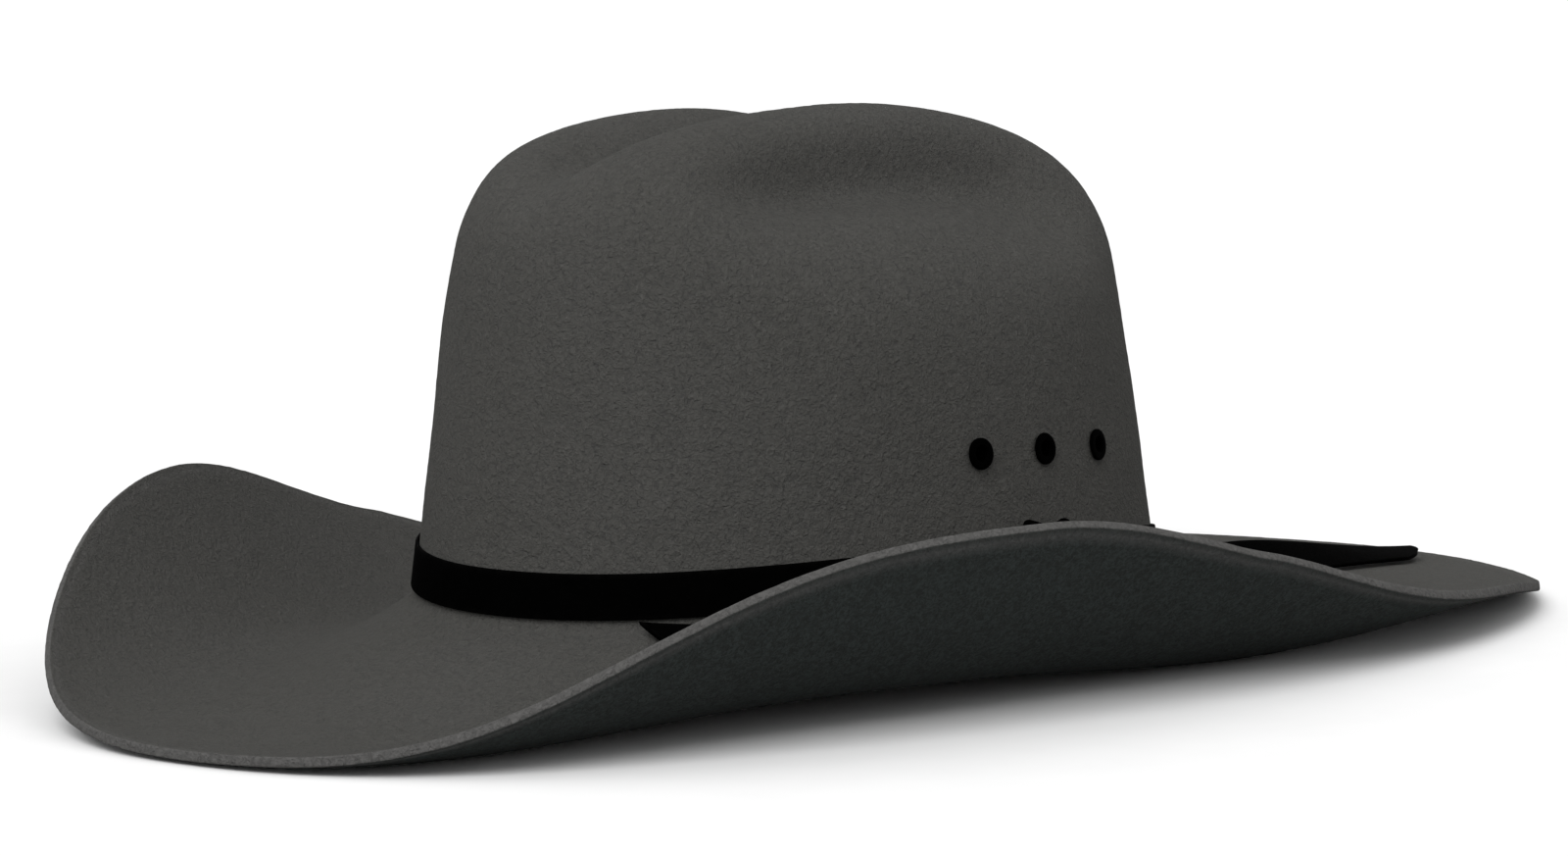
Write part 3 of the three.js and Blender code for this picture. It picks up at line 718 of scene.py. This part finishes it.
def tail(name, node, line, facts, round_end):
    """A flat strip on the brim that turns from upright at the knot to almost flat at its end."""
    stations = TAIL_STATIONS
    section = np.array(fine_section(TAIL_WIDTH, TAIL_THICK, TAIL_CORNER))
    follow = traced(line, FELT / 2 + TAIL_LIFT)
    ends = follow(np.array([0.0, 1.0]))[0]
    length = np.linalg.norm(ends[1] - ends[0])
    across, through = section[:, 0][None], section[:, 1][None]
    w = across / TAIL_WIDTH
    cut = 1 - facts["slant"] / length * (1 - w) - round_end / length * np.abs(2 * w - 1) ** 2.5
    along = np.linspace(0, 1, stations + 1)[:, None]
    share = along * cut
    foot, up, run = follow(share)
    inward = unit(np.cross(up, run))
    inward = inward * np.where(inward[..., :1] > 0, -1, 1)
    turned_share = smooth(0, 1, share ** facts["twist_power"])
    twist = (mix(facts["twist_start"], facts["twist_end"], turned_share) * DEG)[..., None]
    side = inward * np.cos(twist) + up * np.sin(twist)
    face = up * np.cos(twist) - inward * np.sin(twist)
    lead = lead_in(np.sign(facts["start"]), foot[0, 0], side[0, 0], face[0, 0], run[0, 0])
    foot, side, face = (np.concatenate([np.broadcast_to(a, (len(a),) + b.shape[1:]), b])
                        for a, b in zip(lead, (foot, side, face)))
    points = (foot + side * across[..., None] + face * through[..., None]).reshape(-1, 3)
    stations += len(lead[0])
    along = np.concatenate([np.zeros((len(lead[0]), 1)), along])
    edge = np.minimum(across, TAIL_WIDTH - across) < WORN_EDGE
    worn = np.where(edge | (along > TAIL_TIP), 1.0, WORN_FACE)
    n = len(section)
    faces = grid_faces(stations + 1, n)
    faces += [tuple(range(n))[::-1], tuple(stations * n + k for k in range(n))]
    obj = make_piece(name, points, faces, STRAP_LOOK, "hatband_set", [node])
    set_attribute(obj, "worn", worn.ravel())
    follow_middle = (foot + side * TAIL_WIDTH / 2)[:, 0]
    length = float(np.linalg.norm(np.diff(follow_middle, axis=0), axis=1).sum())
    return obj


# Each turn of the wrap: its lean in degrees, its place along the band, and its depth, height and width.
WRAP_TURNS = ((17, -6.4, 3.6, 15.4, 9.4), (-15, 3.0, 3.6, 13.2, 9.4), (0, -1, 4.8, 12.6, 9.0))
WRAP_THICK, WRAP_STEPS = 1.0, 56
WRAP_BOW = 260.0  # twice the radius that its back is bowed to
WRAP_WORN = 0.2
FOLD_ROWS, FOLD_MARGIN, FOLD_SHARE = 9, 1.7, 0.92  # the strap folded inside a turn


def wrap_point(lean, apart, across, tall, out):
    """A point of the wrap, from its place across the strap, its height and how far it stands out."""
    a = lean * DEG
    y = apart + across * math.cos(a) + tall * math.sin(a)
    z = -across * math.sin(a) + tall * math.cos(a)
    foot = beside_wall(0.0, KNOT_MIDDLE + z, KNOT_START + max(out, 0.0))
    return [foot[0] - y * y / WRAP_BOW, y, foot[2]]


def knot():
    """Two turns of the strap that cross over the band, with their folded corners standing up."""
    points, faces, worn = [], [], []
    for lean, apart, depth, size, width in WRAP_TURNS:
        loop = []
        for i in range(WRAP_STEPS):
            t = 2 * math.pi * i / WRAP_STEPS
            loop.append((depth / 2 + depth / 2 * power_of(math.sin(t), 0.55),
                         size / 2 * power_of(math.cos(t), 0.6)))
        section = fine_section(width, WRAP_THICK, 0.3, 8)
        base = len(points)
        for i, (out, tall) in enumerate(loop):
            before, after = loop[i - 1], loop[(i + 1) % WRAP_STEPS]
            tangent = np.array([after[0] - before[0], after[1] - before[1]])
            tangent = tangent / np.linalg.norm(tangent)
            normal = np.array([tangent[1], -tangent[0]])
            for across, through in section:
                s = across - width / 2
                pinch = 1 - 0.06 * (s / (width / 2)) ** 2
                o = (out + normal[0] * (through - WRAP_THICK)) * pinch
                points.append(wrap_point(lean, apart, s, tall + normal[1] * (through - WRAP_THICK), o))
                worn.append(1.0 if abs(abs(s) - width / 2) < WORN_EDGE else WRAP_WORN)
        faces += grid_faces(WRAP_STEPS, len(section), True, True, base)
        # the strap's end, folded flat inside the turn
        fold_height, fold_depth = size - FOLD_MARGIN, depth - FOLD_MARGIN
        fold = fine_section(fold_height, fold_depth, 0.3, 8)
        base = len(points)
        for s in np.linspace(-FOLD_SHARE / 2, FOLD_SHARE / 2, FOLD_ROWS) * width:
            for tall, out in fold:
                points.append(wrap_point(lean, apart, s, tall - fold_height / 2, FOLD_MARGIN / 2 + out))
                worn.append(WRAP_WORN)
        faces += grid_faces(FOLD_ROWS, len(fold), False, True, base)
        last = base + (FOLD_ROWS - 1) * len(fold)
        faces += [tuple(base + k for k in range(len(fold)))[::-1],
                  tuple(last + k for k in range(len(fold)))]
    obj = make_piece("hatband_wrap", np.array(points), faces, STRAP_LOOK, "hatband_set", ["hatband_knot"])
    set_attribute(obj, "worn", worn)
    return obj


# ------------------------------------------------------------ eyelets and washers
def turned(profile, steps, at, axis):
    """Points and faces of a closed profile turned round an axis, at a place on the crown."""
    axis = Vector(axis)
    spin = Vector((0, 0, 1)).rotation_difference(axis)
    points = []
    for k in range(steps):
        a = 2 * math.pi * k / steps
        for radius, height in profile:
            v = spin @ Vector((radius * math.cos(a), radius * math.sin(a), height))
            points.append(Vector(at) + v)
    return [list(p) for p in points], grid_faces(steps, len(profile), True, True)


def arc(cx, cy, radius, start, end, steps):
    return [(cx + radius * math.cos(t * DEG), cy + radius * math.sin(t * DEG))
            for t in np.linspace(start, end, steps + 1)]


FLANGE_RADIUS, FLANGE_THICK, BARREL_RADIUS, BORE_RADIUS = 4.0, 0.7, 2.5, 1.9
WASHER_INNER, WASHER_OUTER, WASHER_THICK, WASHER_STAND_OFF, WASHER_CORNER = 2.8, 4.05, 0.5, 0.5, 0.15
LIP_RADIUS, LIP_ROUND, TURN_STEPS = 2.85, 0.38, 56


def eyelets():
    outside = -(FELT + WASHER_STAND_OFF)
    inner = outside - WASHER_THICK - GAP
    rim = GAP + FLANGE_THICK
    shell = [(FLANGE_RADIUS, GAP)] + arc(FLANGE_RADIUS - 0.4, rim - 0.4, 0.4, 0, 90, 6)
    shell += arc(BORE_RADIUS + 0.6, rim - 0.6, 0.6, 90, 180, 6)
    shell += [(BORE_RADIUS, inner - 0.2)] + arc(BORE_RADIUS + 0.5, inner - 0.5, 0.5, 180, 270, 4)
    shell += arc(LIP_RADIUS, inner - 0.62, LIP_ROUND, -90, 90, 5)
    shell += [(BARREL_RADIUS, inner), (BARREL_RADIUS, GAP)]
    corner = WASHER_CORNER
    ring = [(WASHER_INNER, outside - WASHER_THICK), (WASHER_OUTER, outside - WASHER_THICK)]
    ring += arc(WASHER_OUTER, outside - WASHER_THICK + corner, corner, -90, 0, 3)
    ring += arc(WASHER_OUTER, outside - corner, corner, 0, 90, 3) + [(WASHER_INNER, outside)]
    for name, at, axis in PLACES:
        points, faces = turned(shell, TURN_STEPS, at, axis)
        make_piece("eyelet_shell_" + name, points, faces, ENAMEL_LOOK, "hat", ["eyelet_" + name])
        points, faces = turned(ring, TURN_STEPS, at, axis)
        make_piece("washer_ring_" + name, points, faces, STEEL_LOOK, "hat", ["eyelet_washer_" + name])


# ------------------------------------------------------------ inside the crown
SWEAT_LOW, SWEAT_HIGH, SWEAT_THICK, STAND_OFF, BUTT_HALF = -1.5, 38.0, 1.0, 2.2, 1.0
SWEAT_OUT = -(FELT / 2 + STAND_OFF)
BACK = math.pi / 2


def wall_sheet(name, low_angle, high_angle, heights, outer, thick, look, node, steps, corner,
               wave=None):
    """A thin strip that follows the wall, with rounded edges."""
    angle = np.linspace(low_angle, high_angle, steps + 1)
    section = fine_section(heights[1] - heights[0], thick, corner, 14)
    rows = []
    for up, through in section:
        extra = wave(angle, up) if wave else 0.0
        rows.append(beside_wall(angle, heights[0] + up, outer - thick + through + extra))
    n = len(angle)
    points = np.vstack(rows)
    faces = grid_faces(len(rows), n, True, False)
    faces += [tuple(r * n for r in range(len(rows))), tuple(r * n + n - 1 for r in range(len(rows)))[::-1]]
    return make_piece(name, points, faces, look, "hat", [node])


def sweatband():
    half = BUTT_HALF / HALF_WIDTH

    def wave(angle, up):
        return 0.25 * np.sin(angle * 5 + 0.7) * smooth(8, 38, up) - 0.35 * gauss(up - 2.7, 2.0)

    wall_sheet("sweatband_leather", BACK + half, BACK + 2 * math.pi - half, (SWEAT_LOW, SWEAT_HIGH),
               SWEAT_OUT, SWEAT_THICK, LEATHER_LOOK, "sweatband", 420, 0.4, wave)


REED_RADIUS, REED_HEIGHT, REED_SIDES, REED_STEPS = 0.75, 1.2, 12, 360


def reed():
    angle = np.linspace(0, 2 * math.pi, REED_STEPS, endpoint=False)
    middle = -(FELT + STAND_OFF) / 2
    rows = []
    for i in range(REED_SIDES):
        t = 2 * math.pi * i / REED_SIDES
        rows.append(beside_wall(angle, REED_HEIGHT + REED_RADIUS * math.sin(t),
                                middle + REED_RADIUS * math.cos(t)))
    make_piece("reed_rod", np.vstack(rows), grid_faces(REED_SIDES, REED_STEPS, True), REED_LOOK, "hat",
               ["sweatband_reed"])


STITCHES, STITCH_SHARE, STITCH_HEIGHT, STITCH_RADIUS = 150, 0.36, 3.2, 0.24
STITCH_RINGS, STITCH_SIDES = 7, 8


def stitches():
    """The lockstitch that holds the sweatband, along its lower edge."""
    points, faces = [], []
    inner = SWEAT_OUT - SWEAT_THICK - 0.28
    span = 2 * math.pi / STITCHES * STITCH_SHARE
    last = (STITCH_RINGS - 1) * STITCH_SIDES
    for k in range(STITCHES):
        middle = BACK + 2 * math.pi * (k + 0.5) / STITCHES
        base = len(points)
        for i in range(STITCH_RINGS):
            s = 2 * i / (STITCH_RINGS - 1) - 1
            radius = STITCH_RADIUS * math.sqrt(max(1 - s ** 2, 0.04))
            out = inner + 0.22 * s ** 2
            for j in range(STITCH_SIDES):
                t = 2 * math.pi * j / STITCH_SIDES
                height = STITCH_HEIGHT + 0.25 * s + radius * math.sin(t)
                points.append(beside_wall(middle + span * s, height, out + radius * math.cos(t)))
        faces += grid_faces(STITCH_RINGS, STITCH_SIDES, False, True, base)
        faces += [tuple(base + j for j in range(STITCH_SIDES))[::-1],
                  tuple(base + last + j for j in range(STITCH_SIDES))]
    make_piece("sweatband_stitches", np.array(points), faces, THREAD_LOOK, "hat")


TAPE_HALF, TAPE_HEIGHTS = 7.0, (5, 35)
LABEL_HALF, LABEL_HEIGHTS, LABEL_ANGLE = 8.0, (24, 48), 78 * DEG
CLOTH_THICK, CLOTH_CORNER = 0.4, 0.15


def small_parts():
    half = TAPE_HALF / HALF_WIDTH
    tape = wall_sheet("seam_tape_strip", BACK - half, BACK + half, TAPE_HEIGHTS,
                      SWEAT_OUT + GAP + CLOTH_THICK, CLOTH_THICK, TAPE_LOOK, "sweatband_seam_tape",
                      24, CLOTH_CORNER)
    half = LABEL_HALF / HALF_WIDTH
    label = wall_sheet("blank_label", LABEL_ANGLE - half, LABEL_ANGLE + half, LABEL_HEIGHTS,
                       SWEAT_OUT + 2 * GAP + CLOTH_THICK, CLOTH_THICK, LABEL_LOOK, "size_label",
                       24, CLOTH_CORNER)
    bow()


BOW_HEIGHT, RIBBON_WIDTH, RIBBON_THICK = 7, 5.0, 0.22


def bow():
    """Two flat loops of ribbon and a small knot over the sweatband's seam."""
    start = SWEAT_OUT - SWEAT_THICK - 2 * GAP
    points, faces = [], []
    steps, width = 40, RIBBON_WIDTH
    for side in (1, -1):
        base = len(points)
        section = fine_section(width, RIBBON_THICK, 0.08, 6)
        for i in range(steps):
            t = 2 * math.pi * i / steps
            span = 6.6 - 6.0 * math.cos(t)
            depth = 0.55 + 0.42 * power_of(math.sin(t), 0.7)
            for across, through in section:
                s = across - width / 2
                narrow = mix(0.42, 1.0, float(smooth(0.6, 6, span)))
                points.append(beside_wall(BACK + side * span / HALF_WIDTH, BOW_HEIGHT + s * narrow,
                                          start - depth - through))
        faces += grid_faces(steps, len(section), True, True, base)
    base = len(points)
    for i in range(24):
        t = 2 * math.pi * i / 24
        for j in range(9):
            s = (j - 4) / 4
            points.append(beside_wall(BACK + 1.5 * s / HALF_WIDTH,
                                      BOW_HEIGHT + 2.2 * math.cos(t) * (1 - 0.12 * s * s),
                                      start - 0.75 - 0.7 * math.sin(t) * (1 - 0.25 * s * s)))
    faces += grid_faces(24, 9, True, False, base)
    faces += [tuple(base + i * 9 for i in range(24)), tuple(base + i * 9 + 8 for i in range(24))[::-1]]
    make_piece("ribbon_bow", np.array(points), faces, BOW_LOOK, "hat", ["sweatband_bow"])


felt_body()
hatband()
tail("strap_tail_front", "hatband_tail_front", front_line, FRONT_TAIL, 0)
tail("strap_tail_rear", "hatband_tail_rear", rear_line, REAR_TAIL, 4)
knot()
eyelets()
sweatband()
reed()
stitches()
small_parts()


# ------------------------------------------------------------ floor, light and camera
FLOOR_BOUNCE = 0.42  # how much light the floor throws back, as opposed to how pale it looks
FLOOR_HALF = 60.0


def floor():
    mesh = bpy.data.meshes.new("floor")
    corners = [(x * FLOOR_HALF, y * FLOOR_HALF, 0) for x, y in ((-1, -1), (1, -1), (1, 1), (-1, 1))]
    mesh.from_pydata(corners, [], [(0, 1, 2, 3)])
    obj = bpy.data.objects.new("floor", mesh)
    bpy.context.scene.collection.objects.link(obj)
    n = Nodes("floor_paper")
    seen = n.add("ShaderNodeLightPath").outputs["Is Camera Ray"]
    fibres = n.noise(40.0, 3.0)
    pale = n.blend(n.range(fibres, 0.3, 0.7), grey(0.95), grey(0.97))
    n.fill(n.shader, Base_Color=n.blend(seen, grey(FLOOR_BOUNCE), pale), Roughness=1.0,
           Specular_IOR_Level=0.0, Normal=n.bump(fibres, 0.00005, 0.2))
    mesh.materials.append(n.material)


def sun(name, azimuth, elevation, strength, angle):
    """A soft distant light that comes from an azimuth and elevation in the view's terms."""
    light = bpy.data.lights.new(name, "SUN")
    light.energy, light.angle = strength, angle * DEG
    obj = bpy.data.objects.new(name, light)
    bpy.context.scene.collection.objects.link(obj)
    a, e = azimuth * DEG, elevation * DEG
    back = Vector((math.sin(a) * math.cos(e), -math.cos(a) * math.cos(e), math.sin(e)))
    obj.rotation_mode = "QUATERNION"
    obj.rotation_quaternion = (-back).to_track_quat("-Z", "Y")


def world(strength):
    w = bpy.data.worlds.new("studio")
    bpy.context.scene.world = w
    w.use_nodes = True
    nodes, links = w.node_tree.nodes, w.node_tree.links
    nodes.clear()
    out = nodes.new("ShaderNodeOutputWorld")
    seen, lit = (nodes.new("ShaderNodeBackground") for _ in range(2))
    path, choose = nodes.new("ShaderNodeLightPath"), nodes.new("ShaderNodeMixShader")
    lit.inputs["Strength"].default_value = strength
    seen.inputs["Strength"].default_value = 1.0
    for node in (seen, lit):
        node.inputs["Color"].default_value = (1, 1, 1, 1)
    links.new(path.outputs["Is Camera Ray"], choose.inputs[0])
    links.new(lit.outputs[0], choose.inputs[1])
    links.new(seen.outputs[0], choose.inputs[2])
    links.new(choose.outputs[0], out.inputs[0])


VIEW_AZIMUTH, VIEW_ELEVATION, VIEW_ROLL = 41.155 * DEG, 6.482 * DEG, -1.625 * DEG
VIEW_DISTANCE, AIM_HEIGHT, SIDE_SHIFT, UP_SHIFT = 1647.7, 24.3, -1.372, 32.82
SENSOR_WIDTH, FOCAL_SHARE = 36.0, 6466 / 1600  # the focal length, as a share of the sensor's width


def camera():
    """The photograph's viewpoint: long lens, three quarters from the front left, low."""
    azimuth, elevation, roll = VIEW_AZIMUTH, VIEW_ELEVATION, VIEW_ROLL
    back = Vector((math.sin(azimuth) * math.cos(elevation), -math.cos(azimuth) * math.cos(elevation),
                   math.sin(elevation)))
    right = Vector((math.cos(azimuth), math.sin(azimuth), 0))
    up = back.cross(right)
    right_r = right * math.cos(roll) + up * math.sin(roll)
    up_r = up * math.cos(roll) - right * math.sin(roll)
    at = Vector((0, CENTRE_Y, AIM_HEIGHT)) + back * VIEW_DISTANCE + right_r * SIDE_SHIFT + up_r * UP_SHIFT
    data = bpy.data.cameras.new("camera")
    data.sensor_fit, data.sensor_width = "HORIZONTAL", SENSOR_WIDTH
    data.lens = SENSOR_WIDTH * FOCAL_SHARE
    data.clip_start, data.clip_end = 0.05, 200
    obj = bpy.data.objects.new("camera", data)
    bpy.context.scene.collection.objects.link(obj)
    obj.matrix_world = Matrix.Translation(at * MM) @ Matrix((right_r, up_r, back)).transposed().to_4x4()
    bpy.context.scene.camera = obj


floor()
world(0.74)
sun("key", 20, 46, 1.6, 40)
camera()
bpy.context.scene.view_settings.view_transform = "Standard"
